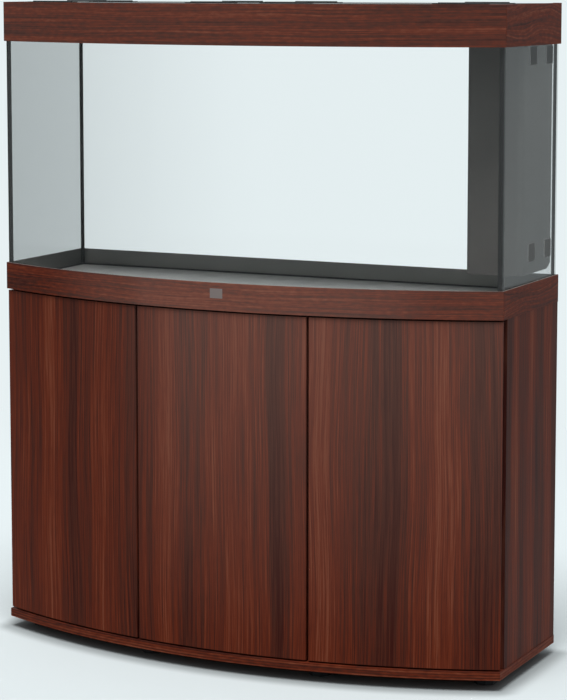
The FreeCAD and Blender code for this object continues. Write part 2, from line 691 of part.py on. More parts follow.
def filter_pump():
    """Pump at the top of the front chamber, standing on the housing's shelf, with its outlet pipe."""
    w, d, h = PUMP
    x0 = OUTLET_X - w / 2
    y0 = PUMP_Y - d / 2
    z0 = Z_PUMP_SHELF
    block = bevel(box(x0, x0 + w, y0, y0 + d, z0, z0 + h), BASKET_BEVEL)
    impeller = rod(OUTLET_X, PUMP_Y, z0 - IMPELLER_L, IMPELLER_D, IMPELLER_L)
    start = FILTER_Y0 - OUTLET_OUT
    pipe = rod(OUTLET_X, start, OUTLET_Z, OUTLET_D, y0 - start, Vector(0, 1, 0))
    bore = rod(OUTLET_X, start, OUTLET_Z, OUTLET_BORE, y0 - start, Vector(0, 1, 0))
    return block.multiFuse([impeller, pipe]).cut(bore).removeSplitter()


def heater():
    """Glass heater beside the pump, hung by its head from the shelf."""
    head_d, head_h = HEATER_HEAD
    tube = rod(HEATER_X, HEATER_Y, Z_PUMP_SHELF - HEATER_L, HEATER_D, HEATER_L)
    return tube.fuse(rod(HEATER_X, HEATER_Y, Z_PUMP_SHELF, head_d, head_h))


# ================================================================ hood
RIM_INSET = BAND_T + FRAME_WALL + RIM_W                 # flaps' outer edges behind the outline
STRIP_Y0 = STRIP_OFFSET - LIGHT_STRIP / 2               # front hinge line
STRIP_Y1 = STRIP_OFFSET + LIGHT_STRIP / 2               # rear hinge line
FLAP_X = WIDTH / 2 - RIM_INSET
REAR_FLAP_X0 = -WIDTH / 2 + CABLE_COVER[0] + RIM_W


def flap_area(x0, x1, front, grow, z0, z1):
    """Plan area of one flap, grown or shrunk on its free sides, up to its hinge line."""
    if front:
        y0, y1 = -DEPTH, STRIP_Y0
    else:
        y0, y1 = STRIP_Y1, REAR - RIM_INSET + grow
    area = box(x0 - grow, x1 + grow, y0, y1, z0, z1)
    if front:
        area = area.common(bow(RIM_INSET - grow, 0, 0, z0, z1))
    return area


FLAPS = {
    "flap_front_left": (-FLAP_X, -FLAP_GAP, True),
    "flap_front_right": (FLAP_GAP, FLAP_X, True),
    "flap_rear_left": (REAR_FLAP_X0, -FLAP_GAP, False),
    "flap_rear_right": (FLAP_GAP, FLAP_X, False),
}


def barrel_middles(x0, x1):
    return (x0 + BARREL_FROM_END, x1 - BARREL_FROM_END)


def hinge_y(front):
    return STRIP_Y0 if front else STRIP_Y1


def hinge_strip(front, x0, x1, width):
    """A strip of deck height from a hinge line towards its flap."""
    y = hinge_y(front)
    y_low, y_high = (y - width, y) if front else (y, y + width)
    return box(x0, x1, y_low, y_high, Z_DECK - FLAP_T, Z_DECK)


def flap(x0, x1, front):
    """A lid with two barrels on its hinge line, open below so that they snap on their pins."""
    y = hinge_y(front)
    gap = BARREL_D / 2 + EAR_GAP
    plate = flap_area(x0, x1, front, 0, Z_DECK - FLAP_T, Z_DECK)
    plate = plate.cut(hinge_strip(front, x0, x1, gap))
    for x in barrel_middles(x0, x1):
        start, end = x - BARREL_L / 2, x + BARREL_L / 2
        barrel = rod(start, y, Z_DECK, BARREL_D, BARREL_L, Vector(1, 0, 0))
        plate = plate.multiFuse([hinge_strip(front, start, end, gap), barrel])
        plate = plate.cut(rod(start, y, Z_DECK, FLAP_PIN_D + 2 * BARREL_PLAY, BARREL_L, Vector(1, 0, 0)))
        plate = plate.cut(box(start, end, y - CLIP_MOUTH / 2, y + CLIP_MOUTH / 2, Z_DECK - BARREL_D, Z_DECK))
    return plate.removeSplitter()


def hood_frame():
    """Moulded hood: outer wall, flange on the rim of the glass, deck with rabbets, ears and pins."""
    wall_in = BAND_T + FRAME_WALL
    wall = bow_ring(BAND_T, wall_in, Z_HOOD, Z_DECK)
    flange_z = Z_GLASS_TOP + REST_GAP
    flange = bow_ring(wall_in, wall_in + FLANGE_W, flange_z, flange_z + FLANGE_T)
    deck = bow(wall_in, wall_in, wall_in, Z_DECK - DECK_T, Z_DECK)
    slot_y = BARREL_D / 2 + EAR_GAP
    for x0, x1, front in FLAPS.values():
        deck = deck.cut(flap_area(x0, x1, front, FLAP_GAP, Z_DECK - FLAP_T - REST_GAP, Z_DECK))
        deck = deck.cut(flap_area(x0, x1, front, -FLAP_LEDGE, Z_DECK - DECK_T, Z_DECK))
        y = hinge_y(front)
        for x in barrel_middles(x0, x1):
            half = BARREL_L / 2 + EAR_GAP
            deck = deck.cut(box(x - half, x + half, y - slot_y, y + slot_y, Z_DECK - DECK_T, Z_DECK))
            ears = [box(start, start + EAR_L, y - EAR_W / 2, y + EAR_W / 2, Z_DECK - DECK_T, Z_DECK + EAR_UP)
                    for start in (x - half - EAR_L, x + half)]
            pin = rod(x - half, y, Z_DECK, FLAP_PIN_D, 2 * half, Vector(1, 0, 0))
            deck = deck.multiFuse(ears + [pin])
    frame = wall.multiFuse([flange, deck])
    for x in gland_places():
        frame = frame.cut(rod(x, REAR - BAND_T - FRAME_WALL, gland_z(), GLAND_D, FRAME_WALL, Vector(0, 1, 0)))
    return frame.removeSplitter()


def gland_places():
    return (-WIDTH / 2 + CABLE_COVER[0] / 2 + RIM_W, WIDTH / 2 - CABLE_COVER[0])


def gland_z():
    return (Z_GLASS_TOP + Z_DECK) / 2


def cable_glands():
    """Soft grommets in the hood's rear wall."""
    made = []
    y = REAR - BAND_T - GLAND_L
    for x in gland_places():
        body = rod(x, y, gland_z(), GLAND_D, GLAND_L, Vector(0, 1, 0))
        made.append(body.cut(rod(x, y, gland_z(), GLAND_BORE, GLAND_L, Vector(0, 1, 0))))
    return Part.makeCompound(made)


def hood_band():
    return decor_band(Z_HOOD, Z_HOOD_TOP)


def cable_cover():
    """Raised cover for cables on the deck's rear left corner."""
    w, d, h = CABLE_COVER
    x0 = -WIDTH / 2 + BAND_T + FRAME_WALL
    y1 = REAR - BAND_T - FRAME_WALL
    return soften(box(x0, x0 + w, y1 - d, y1, Z_DECK, Z_DECK + h), COVER_R)


def light_unit():
    """Housing under the deck, open below, with a block of sockets at each end."""
    z1 = Z_DECK - DECK_T
    z0 = z1 - LIGHT_H
    y0 = STRIP_OFFSET - LIGHT_W / 2
    y1 = STRIP_OFFSET + LIGHT_W / 2
    unit = box(-LIGHT_X, LIGHT_X, y0, y1, z0, z1)
    inside_x = LIGHT_X - END_BLOCK
    return unit.cut(box(-inside_x, inside_x, y0 + LIGHT_WALL, y1 - LIGHT_WALL, z0, z1 - LIGHT_WALL))


def tube_axes():
    z = Z_DECK - DECK_T - LIGHT_H / 2 - LIGHT_WALL
    return [(STRIP_OFFSET + s * TUBE_SPACING / 2, z) for s in (-1, 1)]


def light_tubes():
    half = LIGHT_X - END_BLOCK - CAP_L
    return Part.makeCompound([rod(-half, y, z, TUBE_D, 2 * half, Vector(1, 0, 0)) for y, z in tube_axes()])


def tube_caps():
    """Screw caps between the tubes' ends and the blocks of sockets."""
    start = LIGHT_X - END_BLOCK - CAP_L
    caps = [rod(start, y, z, CAP_D, CAP_L, Vector(1, 0, 0)) for y, z in tube_axes()]
    return Part.makeCompound(caps + [mirrored(c) for c in caps])


# ================================================================ all nodes
def doors():
    """Panel, hinge cups and strike plate of each door, by node name."""
    nodes = {}
    spans = {
        "door_left": (-END_ANGLE, -JOINT_ANGLE - HALF_JOINT, CATCHES["left"]),
        "door_centre": (-JOINT_ANGLE + HALF_JOINT, JOINT_ANGLE - HALF_JOINT, CATCHES["centre"]),
    }
    for name, (a0, a1, x_catch) in spans.items():
        strike_a = math.asin(x_catch / (FACE_R - STRIKE_Y))
        nodes[name] = door_panel(a0, a1, cup_angle(a0))
        cups = [placed(hinge_cup(), cup_angle(a0), z) for z in hinge_levels()]
        nodes[name + "_cups"] = Part.makeCompound(cups)
        nodes[name + "_strike"] = strike_plate(strike_a)
    for part in ("", "_cups", "_strike"):
        nodes["door_right" + part] = mirrored(nodes["door_left" + part])
    return nodes


def all_nodes():
    nodes = {
        "base_board": base_board(),
        "side_panel_left": mirrored(side_panel()),
        "side_panel_right": side_panel(),
        "partition_left": mirrored(partition()),
        "partition_right": partition(),
        "top_board": top_board(),
        "back_panel": back_panel(),
        "shelf_left": mirrored(shelf()),
        "shelf_right": shelf(),
        "shelf_supports": shelf_supports(),
        "feet": feet(),
        "hinge_arms": hinge_arms(),
        "catch_housings": Part.makeCompound([catch_housing(x) for x in CATCHES.values()]),
        "catch_plunger_left": plunger(CATCHES["left"]),
        "catch_plunger_centre": plunger(CATCHES["centre"]),
        "catch_plunger_right": plunger(CATCHES["right"]),
        "base_frame": base_frame(),
        "base_frame_band": base_frame_band(),
        "badge_plate": badge_plate(),
        "bottom_pane": bottom_pane(),
        "front_pane": front_pane(),
        "side_pane_left": mirrored(side_pane()),
        "side_pane_right": side_pane(),
        "rear_pane": rear_pane(),
        "silicone_seams": silicone_seams(),
        "cross_brace": cross_brace(),
        "filter_housing": filter_housing(),
        "filter_lid": filter_lid(),
        "filter_pads": filter_pads(),
        "filter_baskets": filter_baskets(),
        "filter_sponges": filter_sponges(),
        "filter_pump": filter_pump(),
        "heater": heater(),
        "hood_frame": hood_frame(),
        "hood_band": hood_band(),
        "cable_cover": cable_cover(),
        "cable_glands": cable_glands(),
        "light_unit": light_unit(),
        "light_tubes": light_tubes(),
        "tube_caps": tube_caps(),
    }
    nodes.update(doors())
    for name, (x0, x1, front) in FLAPS.items():
        nodes[name] = flap(x0, x1, front)
    return nodes


os.makedirs("parts", exist_ok=True)
for name, shape in all_nodes().items():
    shape.exportStep("parts/" + name + ".step")
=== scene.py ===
import math
from collections import namedtuple

import bpy
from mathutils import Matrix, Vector


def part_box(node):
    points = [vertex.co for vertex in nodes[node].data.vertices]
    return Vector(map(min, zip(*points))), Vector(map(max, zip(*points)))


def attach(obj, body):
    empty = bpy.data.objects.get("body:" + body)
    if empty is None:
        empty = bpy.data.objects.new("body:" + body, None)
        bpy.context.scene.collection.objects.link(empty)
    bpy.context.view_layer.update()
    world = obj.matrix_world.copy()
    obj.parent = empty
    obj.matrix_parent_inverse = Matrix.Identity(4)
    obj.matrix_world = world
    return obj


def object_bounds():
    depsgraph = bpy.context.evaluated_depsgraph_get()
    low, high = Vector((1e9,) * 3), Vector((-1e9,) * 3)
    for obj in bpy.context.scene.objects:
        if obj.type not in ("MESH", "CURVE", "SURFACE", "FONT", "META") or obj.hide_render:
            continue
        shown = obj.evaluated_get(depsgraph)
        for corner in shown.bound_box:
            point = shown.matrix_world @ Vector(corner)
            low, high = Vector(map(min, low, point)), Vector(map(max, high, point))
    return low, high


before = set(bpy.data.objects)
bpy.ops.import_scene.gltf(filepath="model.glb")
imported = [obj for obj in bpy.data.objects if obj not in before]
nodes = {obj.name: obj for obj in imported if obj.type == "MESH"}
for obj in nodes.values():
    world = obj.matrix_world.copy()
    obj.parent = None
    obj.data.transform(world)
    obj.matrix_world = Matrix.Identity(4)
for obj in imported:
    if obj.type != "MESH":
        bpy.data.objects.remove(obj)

scene = bpy.context.scene
cad_low, cad_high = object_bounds()

# Lengths are in metres, angles in degrees. +X is the object's right, -Y its front, +Z up.
BACKGROUND = (0.806, 0.880, 0.896)      # the pale floor and backdrop, as linear values


def rgb(hexa):
    """A written sRGB colour as linear values."""
    parts = [int(hexa[i:i + 2], 16) / 255 for i in (0, 2, 4)]
    return tuple(c / 12.92 if c <= 0.04045 else ((c + 0.055) / 1.055) ** 2.4 for c in parts)


# ---------------------------------------------------------------- node helpers
# Noise stretched along two directions: cells per metre along each, layer, detail, roughness
Grain = namedtuple("Grain", "u v layer detail roughness")


class Tree:
    """Short calls for the nodes of one material."""

    def __init__(self, name):
        self.mat = bpy.data.materials.new(name)
        self.mat.use_nodes = True
        self.tree = self.mat.node_tree
        self.bsdf = self.tree.nodes["Principled BSDF"]
        self.output = self.tree.nodes["Material Output"]

    def add(self, kind, inputs=None, **props):
        node = self.tree.nodes.new(kind)
        for key, value in props.items():
            setattr(node, key, value)
        for key, value in (inputs or {}).items():
            self.put(node.inputs[key], value)
        return node

    def put(self, socket, value):
        if isinstance(value, bpy.types.NodeSocket):
            self.tree.links.new(value, socket)
        elif hasattr(value, "__len__") and socket.type == "RGBA" and len(value) == 3:
            socket.default_value = (*value, 1)
        else:
            socket.default_value = value

    def set(self, **inputs):
        for key, value in inputs.items():
            self.put(self.bsdf.inputs[key.replace("_", " ")], value)

    def math(self, operation, a, b=0.0):
        return self.add("ShaderNodeMath", {0: a, 1: b}, operation=operation).outputs[0]

    def swing(self, value, amount):
        """A value of 0 to 1 as minus to plus half the amount."""
        return self.math("MULTIPLY", self.math("SUBTRACT", value, 0.5), amount)

    def where(self):
        """The object's own coordinates in metres, which move with its body."""
        return self.add("ShaderNodeTexCoord").outputs["Object"]

    def place(self):
        """The same coordinates, one by one."""
        return self.add("ShaderNodeSeparateXYZ", {0: self.where()}).outputs

    def vector(self, x, y, z=0.0):
        return self.add("ShaderNodeCombineXYZ", {0: x, 1: y, 2: z}).outputs[0]

    def length(self, vector):
        return self.add("ShaderNodeVectorMath", {0: vector}, operation="LENGTH").outputs[1]

    def noise(self, vector, scale=1.0, detail=2.0, roughness=0.5):
        node = self.add("ShaderNodeTexNoise", {"Vector": vector, "Scale": scale, "Detail": detail,
                                               "Roughness": roughness})
        return node.outputs["Fac"]

    def grain(self, u, v, kind, finer=1.0, shift=0.0):
        """Noise of one Grain over u and v. finer is more cells along u, shift another layer."""
        stretched = self.vector(self.math("MULTIPLY", u, kind.u * finer),
                                self.math("MULTIPLY", v, kind.v), kind.layer + shift)
        return self.noise(stretched, 1.0, kind.detail, kind.roughness)

    def ramp(self, fac, stops, interpolation="LINEAR"):
        """stops are (position, grey or colour)."""
        node = self.add("ShaderNodeValToRGB", {0: fac})
        band = node.color_ramp
        band.interpolation = interpolation
        while len(band.elements) < len(stops):
            band.elements.new(0.5)
        for element, (position, colour) in zip(band.elements, stops):
            element.position = position
            element.color = (*colour, 1) if hasattr(colour, "__len__") else (colour,) * 3 + (1,)
        return node.outputs[0]

    def mix(self, fac, a, b, blend="MIX"):
        node = self.add("ShaderNodeMix", data_type="RGBA", blend_type=blend)
        self.put(node.inputs[0], fac)
        self.put(node.inputs[6], a)
        self.put(node.inputs[7], b)
        return node.outputs[2]

    def bump(self, height, strength, distance):
        node = self.add("ShaderNodeBump", {"Height": height, "Strength": strength,
                                           "Distance": distance})
        self.put(self.bsdf.inputs["Normal"], node.outputs[0])


# ---------------------------------------------------------------- walnut decor
WOOD_DARK = rgb("2b100e")
WOOD_GREY = rgb("40241c")
WOOD_MID = rgb("572518")
WOOD_RED = rgb("6a2e1b")
WOOD_LIGHT = rgb("7d4632")
WOOD_WARM = rgb("572317")       # what the colour drifts to in patches
WOOD_PAINTED_HAZE = rgb("463c38")      # painted haze: a grey sheen added high on the fronts
WOOD_STOPS = ((0.0, WOOD_DARK), (0.28, WOOD_GREY), (0.50, WOOD_MID), (0.72, WOOD_RED),
              (1.0, WOOD_LIGHT))
WOOD_SPECULAR = 0.03

# Broad figure of the print: position across the doors or a side panel, tone
DOOR_FIGURE = (
    (0.000, 0.62), (0.045, 0.50), (0.085, 0.44), (0.120, 0.72), (0.145, 0.52), (0.178, 0.20),
    (0.215, 0.50), (0.250, 0.66), (0.285, 0.50), (0.322, 0.22), (0.355, 0.46), (0.395, 0.70),
    (0.435, 0.28), (0.470, 0.46), (0.530, 0.66), (0.575, 0.54), (0.618, 0.20), (0.655, 0.58),
    (0.700, 0.74), (0.745, 0.46), (0.815, 0.18), (0.855, 0.52), (0.905, 0.64), (0.965, 0.26),
    (1.000, 0.40),
)
SIDE_FIGURE = ((0.0, 0.52), (0.12, 0.12), (0.28, 0.62), (0.40, 0.30), (0.55, 0.68), (0.68, 0.20),
               (0.82, 0.62), (1.0, 0.26))
SIDE_START = -0.12              # y at which the figure of a side panel starts
INSIDE_START = -0.20            # y at which that of a partition or shelf starts

# Upright grain, across and along it
SWAY = Grain(4.0, 1.6, 0.0, 1.0, 0.5)
STREAK = Grain(75.0, 0.9, 0.0, 3.0, 0.6)
FINE = Grain(360.0, 3.4, 4.0, 3.0, 0.75)
LINE = Grain(170.0, 1.3, 7.0, 1.0, 0.5)
LINE_STOPS = ((0.38, 0.0), (0.50, 0.6), (0.62, 1.0))
SWAY_REACH = 0.035
STREAK_SHARE = 0.9
FINE_SHARE = 1.9
LINE_SHARE = 0.20

# Level grain: wave and fleck lie along and across it, the others across and along
WAVE = Grain(3.0, 9.0, 0.0, 1.5, 0.5)
WAVE_FRONT = 0.014              # how far the grain waves at the front
WAVE_SIDE = 0.075               # and how much further at the sides
LEVEL_STREAK = Grain(120.0, 1.2, 0.0, 3.0, 0.6)
LEVEL_FINE = Grain(420.0, 3.0, 0.0, 2.0, 0.5)
SEAM = Grain(95.0, 0.9, 5.0, 0.0, 0.5)
SEAM_STOPS = ((0.0, 1.0), (0.035, 0.0))
FLECK = Grain(60.0, 170.0, 0.0, 2.0, 0.5)
LEVEL_STREAK_SHARE = 1.3
LEVEL_FINE_SHARE = 1.1
FLECK_SHARE = 0.9
SEAM_SHARE = 0.30
HAZE_AND_SIDE_LIFT = 0.10                # tone added as painted light: under the painted haze and on the side faces
PLY_STEP = 0.0062               # one layer on the edge of a board

# Both, across and along the grain
HUE = Grain(14.0, 0.8, 9.0, 2.0, 0.5)
HUE_SHARE = 0.45
DASH = Grain(800.0, 22.0, 2.0, 1.0, 0.5)
DASH_STOPS = ((0.60, 0.0), (0.72, 1.0))
PORE_DARK = 0.35
PORE_DEEP = 0.8

# Where the painted haze lies, a painted sheen: x + 0.5 or height, share
DOOR_HAZE = ((0.0, 0.0), (0.20, 0.15), (0.44, 1.0), (0.60, 1.0), (1.0, 0.8))
BAND_HAZE = ((0.0, 0.0), (0.25, 0.25), (0.50, 1.0), (0.62, 1.0), (0.85, 0.35), (1.0, 0.2))
HOOD_HAZE = ((0.0, 0.9), (0.5, 1.0), (1.0, 0.8))
HAZE_UP = ((0.08, 0.0), (0.80, 1.0))


def painted_haze_patch(t, place, strength, width_stops):
    """How strong the painted haze is: a painted sheen that fades towards the floor."""
    width = t.ramp(t.math("ADD", place[0], 0.5), width_stops, "EASE")
    height = t.ramp(place[2], HAZE_UP)
    return t.math("MULTIPLY", t.math("MULTIPLY", width, height), strength)


def wood_finish(t, tone, fine, across, along, painted_haze):
    """Colour, pores, sheen and relief of the print from its tone and fine grain, with the painted
    haze added to the colour.
    """
    colour = t.ramp(tone, WOOD_STOPS)
    drift = t.math("MULTIPLY", t.grain(across, along, HUE), HUE_SHARE)
    colour = t.mix(drift, colour, WOOD_WARM)
    pore = t.ramp(t.grain(across, along, DASH), DASH_STOPS)
    colour = t.mix(t.math("MULTIPLY", pore, PORE_DARK), colour, WOOD_DARK)
    # painted haze: a grey sheen painted into the colour, strongest high on the fronts
    colour = t.mix(painted_haze, colour, WOOD_PAINTED_HAZE, "ADD")
    t.set(Base_Color=colour, Specular_IOR_Level=WOOD_SPECULAR,
          Roughness=t.math("ADD", 0.40, t.math("MULTIPLY", fine, 0.16)))
    t.bump(t.math("SUBTRACT", fine, t.math("MULTIPLY", pore, PORE_DEEP)), 0.25, 0.0004)
    return t.mat


def upright_wood(name, axis, figure, low, high, painted_haze, finer=1.0):
    """Veneer with its grain up and down, whose figure is laid from low to high on one axis."""
    t = Tree(name)
    place = t.place()
    along = place[2]
    sway = t.swing(t.grain(place[axis], along, SWAY), SWAY_REACH)
    across = t.math("ADD", place[axis], sway)
    tone = t.ramp(t.math("DIVIDE", t.math("SUBTRACT", across, low), high - low), figure, "EASE")
    fine = t.grain(across, along, FINE, finer)
    line = t.ramp(t.grain(across, along, LINE, finer), LINE_STOPS)
    tone = t.math("ADD", tone, t.swing(t.grain(across, along, STREAK, finer), STREAK_SHARE))
    tone = t.math("ADD", tone, t.swing(line, LINE_SHARE))
    tone = t.math("ADD", tone, t.swing(fine, FINE_SHARE))
    # the painted haze of the fronts, a painted sheen that fades towards the floor
    return wood_finish(t, tone, fine, across, along, painted_haze_patch(t, place, painted_haze, DOOR_HAZE))


def level_wood(name, shift, painted_haze, haze_stops=DOOR_HAZE, middle=0.58, ply=0.0):
    """Veneer that runs round the object, along X at the front and along Y at the sides."""
    t = Tree(name)
    place = t.place()
    outward = t.add("ShaderNodeNewGeometry").outputs["True Normal"]
    outward = t.add("ShaderNodeSeparateXYZ", {0: outward}).outputs
    side = t.math("GREATER_THAN", t.math("ABSOLUTE", outward[0]), 0.8)
    along = t.add("ShaderNodeMix", {0: side, 2: place[0], 3: place[1]}).outputs[0]
    along = t.math("ADD", along, shift)
    wave = t.grain(along, place[2], WAVE, shift=shift)
    wave_reach = t.math("ADD", WAVE_FRONT, t.math("MULTIPLY", side, WAVE_SIDE))
    across = t.math("ADD", place[2], t.swing(wave, wave_reach))
    fine = t.grain(across, along, LEVEL_FINE, shift=shift)
    seam = t.math("SUBTRACT", t.grain(across, along, SEAM, shift=shift), 0.5)
    seam = t.ramp(t.math("ABSOLUTE", seam), SEAM_STOPS)
    tone = t.swing(t.grain(across, along, LEVEL_STREAK, shift=shift), LEVEL_STREAK_SHARE)
    tone = t.math("ADD", tone, t.swing(fine, LEVEL_FINE_SHARE))
    tone = t.math("ADD", tone, t.swing(t.grain(along, across, FLECK, shift=shift), FLECK_SHARE))
    tone = t.math("SUBTRACT", tone, t.math("MULTIPLY", seam, SEAM_SHARE))
    layer = t.math("SINE", t.math("MULTIPLY", place[2], 2 * math.pi / PLY_STEP))
    tone = t.math("ADD", tone, t.math("ADD", middle, t.math("MULTIPLY", layer, ply)))
    # painted haze on the front faces, a painted sheen that fades towards the floor
    haze_mask = painted_haze_patch(t, place, painted_haze, haze_stops)
    haze_mask = t.math("MULTIPLY", haze_mask, t.math("SUBTRACT", 1.0, side))
    # painted light: the tone is lifted under the painted haze and on every side face
    tone = t.math("ADD", tone, t.math("MULTIPLY", t.math("MAXIMUM", haze_mask, side), HAZE_AND_SIDE_LIFT))
    return wood_finish(t, tone, fine, across, along, haze_mask)


# ---------------------------------------------------------------- other materials
GLASS_IOR = 1.16
GLASS_EDGE_GREY = ((0.08, 0.0), (0.33, 0.6), (0.56, 1.0))   # how far it turns away, greyness: a longer path's tint and a painted reflection


def plastic(name, colour, roughness=0.45, grain=1400.0, strength=0.12, specular=0.4, vary=0.12):
    """Moulded plastic with a fine leathery texture."""
    t = Tree(name)
    where = t.where()
    spots = t.noise(where, grain, 2.0)
    cloud = t.noise(where, 9.0, 3.0)
    light = tuple(min(1.0, c * (1 + 2 * vary) + 0.002) for c in colour)
    dark = tuple(c * (1 - vary) for c in colour)
    t.set(Base_Color=t.mix(cloud, dark, light), Specular_IOR_Level=specular,
          Roughness=t.math("ADD", roughness - 0.06, t.math("MULTIPLY", cloud, 0.12)))
    t.bump(spots, strength, 0.0002)
    return t.mat


def glass(name, clear, edge_on, roughness=None):
    """Glass that grows greyer where it is seen at a low angle: partly the tint of a longer path,
    partly a painted reflection of darker surroundings.
    """
    t = Tree(name)
    facing = t.add("ShaderNodeLayerWeight", {"Blend": 0.5}).outputs["Facing"]
    smear = t.noise(t.where(), 3.0, 3.0)
    # painted reflection: grey added where the glass turns away from the view
    t.set(Base_Color=t.mix(t.ramp(facing, GLASS_EDGE_GREY), clear, edge_on), Transmission_Weight=1.0,
          IOR=GLASS_IOR, Roughness=roughness or t.math("MULTIPLY", smear, 0.01))
    return t.mat


def metal(name, colour, roughness):
    """Plated metal, brushed across its height."""
    t = Tree(name)
    place = t.place()
    brush = t.noise(t.vector(place[0], place[1], t.math("MULTIPLY", place[2], 40.0)), 300.0, 2.0)
    t.set(Base_Color=t.mix(brush, tuple(c * 0.85 for c in colour), colour), Metallic=1.0,
          Roughness=t.math("ADD", roughness - 0.05, t.math("MULTIPLY", brush, 0.1)))
    t.bump(brush, 0.05, 0.0002)
    return t.mat


def tank_floor():
    """The bottom pane on its grey underlay, with a soft sheen."""
    t = Tree("tank_floor")
    where = t.where()
    cloud = t.noise(where, 4.0, 3.0)
    t.set(Base_Color=t.mix(cloud, rgb("93918e"), rgb("a09d99")), Specular_IOR_Level=0.5,
          Roughness=t.math("ADD", 0.32, t.math("MULTIPLY", cloud, 0.1)))
    t.bump(t.noise(where, 60.0, 2.0), 0.02, 0.0005)
    return t.mat


def sponge():
    """Open-celled filter foam."""
    t = Tree("blue_sponge")
    cells = t.add("ShaderNodeTexVoronoi", {"Vector": t.where(), "Scale": 450.0}).outputs["Distance"]
    t.set(Base_Color=t.mix(cells, rgb("12335f"), rgb("3f78b8")), Roughness=0.9)
    t.bump(cells, 0.6, 0.001)
    return t.mat


def tube_glass():
    """Opal fluorescent tube, unlit."""
    t = Tree("opal_tube")
    cloud = t.noise(t.where(), 12.0, 2.0)
    t.set(Base_Color=t.mix(cloud, rgb("e4e6e2"), rgb("f2f3ef")),
          Roughness=t.math("ADD", 0.14, t.math("MULTIPLY", cloud, 0.06)))
    return t.mat


half_width = max(abs(cad_low.x), cad_high.x)
MATERIALS = {
    # Strength of the painted haze: the sixth argument of upright_wood, the third of level_wood
    "front": upright_wood("walnut_front", 0, DOOR_FIGURE, -half_width, half_width, 1.0),
    "side": upright_wood("walnut_side", 1, SIDE_FIGURE, SIDE_START, cad_high.y, 0.0, 0.6),
    "band": level_wood("walnut_band", 0.0, 2.6, BAND_HAZE, 0.46),
    "hood": level_wood("walnut_hood", 3.7, 0.50, HOOD_HAZE, 0.48),
    "board": level_wood("walnut_board", 7.3, 0.0, DOOR_HAZE, 0.58, 0.22),
    "inside": upright_wood("walnut_inside", 1, SIDE_FIGURE, INSIDE_START, cad_high.y, 0.0),
    "back": plastic("back_board", rgb("6a625c"), 0.6, 900.0, 0.05, 0.2),
    "black": plastic("black_plastic", rgb("1c1c1c"), 0.45, 1400.0, 0.05, 0.2),
    "frame": plastic("dark_frame", rgb("73716d"), 0.5, 1400.0, 0.05, 0.2),
    "deck": plastic("hood_deck", rgb("383735"), 0.5, 1400.0, 0.05, 0.2),
    "cover": plastic("cover_grey", rgb("5a5d5e"), 0.5, 1400.0, 0.05, 0.3),
    "pads": plastic("filter_pad", rgb("8a8885"), 0.6, 900.0, 0.03, 0.05),
    "filter": plastic("filter_black", rgb("4e4c4a"), 0.5, 600.0, 0.02, 0.05),
    "grey": plastic("grey_plastic", rgb("56595b"), 0.45),
    "light": plastic("light_housing", rgb("3c3e40"), 0.40, 1600.0, 0.05),
    "badge": plastic("badge_plate", rgb("786e6b"), 0.5, 700.0, 0.1, 0.2),
    "silicone": plastic("black_silicone", rgb("161616"), 0.40, 500.0, 0.05, 0.3),
    "rubber": plastic("black_rubber", rgb("18181a"), 0.7, 700.0, 0.1, 0.3),
    "nickel": metal("nickel", rgb("c4c1ba"), 0.28),
    "glass": glass("clear_glass", (0.985, 0.990, 0.990), (0.555, 0.565, 0.565)),
    "heater": glass("heater_glass", (0.75, 0.85, 0.85), (0.5, 0.6, 0.6), 0.05),
    "floor": tank_floor(),
    "sponge": sponge(),
    "tube": tube_glass(),
}

WEARS = {
    "front": ("door_left", "door_centre", "door_right"),
    "side": ("side_panel_left", "side_panel_right"),
    "inside": ("partition_left", "partition_right", "shelf_left", "shelf_right"),
    "band": ("base_frame_band",),
    "hood": ("hood_band",),
    "board": ("base_board", "top_board"),
    "back": ("back_panel",),
    "black": ("flap_front_left", "flap_front_right", "flap_rear_left", "flap_rear_right"),
    "frame": ("base_frame",),
    "deck": ("hood_frame",),
    "cover": ("cable_cover",),
    "pads": ("filter_pads",),
    "badge": ("badge_plate",),
    "filter": ("filter_housing", "filter_lid", "filter_pump"),
    "grey": ("catch_housings", "catch_plunger_left", "catch_plunger_centre", "catch_plunger_right",
             "filter_baskets", "tube_caps", "shelf_supports"),
    "silicone": ("silicone_seams",),
    "rubber": ("feet", "cable_glands"),
    "nickel": ("hinge_arms", "door_left_cups", "door_left_strike", "door_centre_cups",
               "door_centre_strike", "door_right_cups", "door_right_strike"),
    "glass": ("front_pane", "side_pane_left", "side_pane_right", "rear_pane", "cross_brace"),
    "heater": ("heater",),
    "floor": ("bottom_pane",),
    "sponge": ("filter_sponges",),
    "light": ("light_unit",),
    "tube": ("light_tubes",),
}


def dress(obj, material):
    if not obj.material_slots:
        obj.data.materials.append(material)
    for holder in obj.material_slots:
        holder.material = material


for key, names in WEARS.items():
    for name in names:
        dress(nodes[name], MATERIALS[key])
for name in WEARS["glass"] + WEARS["heater"]:
    nodes[name].visible_shadow = False


# ---------------------------------------------------------------- screws
FIXED = "stand_and_tank"
BOARDS = ("side_panel_left", "side_panel_right", "partition_left", "partition_right")
SCREW_R = 0.0034
HINGE_SCREW_UP = 0.013       # from the middle of a hinge arm's plate
HINGE_SCREW_IN = 0.012       # from its rear end
WING_SCREW_UP = 0.024        # from the middle of a hinge cup
CATCH_SCREW_IN = 0.014       # from the ends of a catch housing
BACK_SCREW_IN = 0.012        # from the edges of the rear panel
BACK_SCREWS = (5, 4)         # along its width and its height
COVER_SCREW_Y = 0.020        # from the middle of the cable cover
COVER_SCREW_R = 0.0026

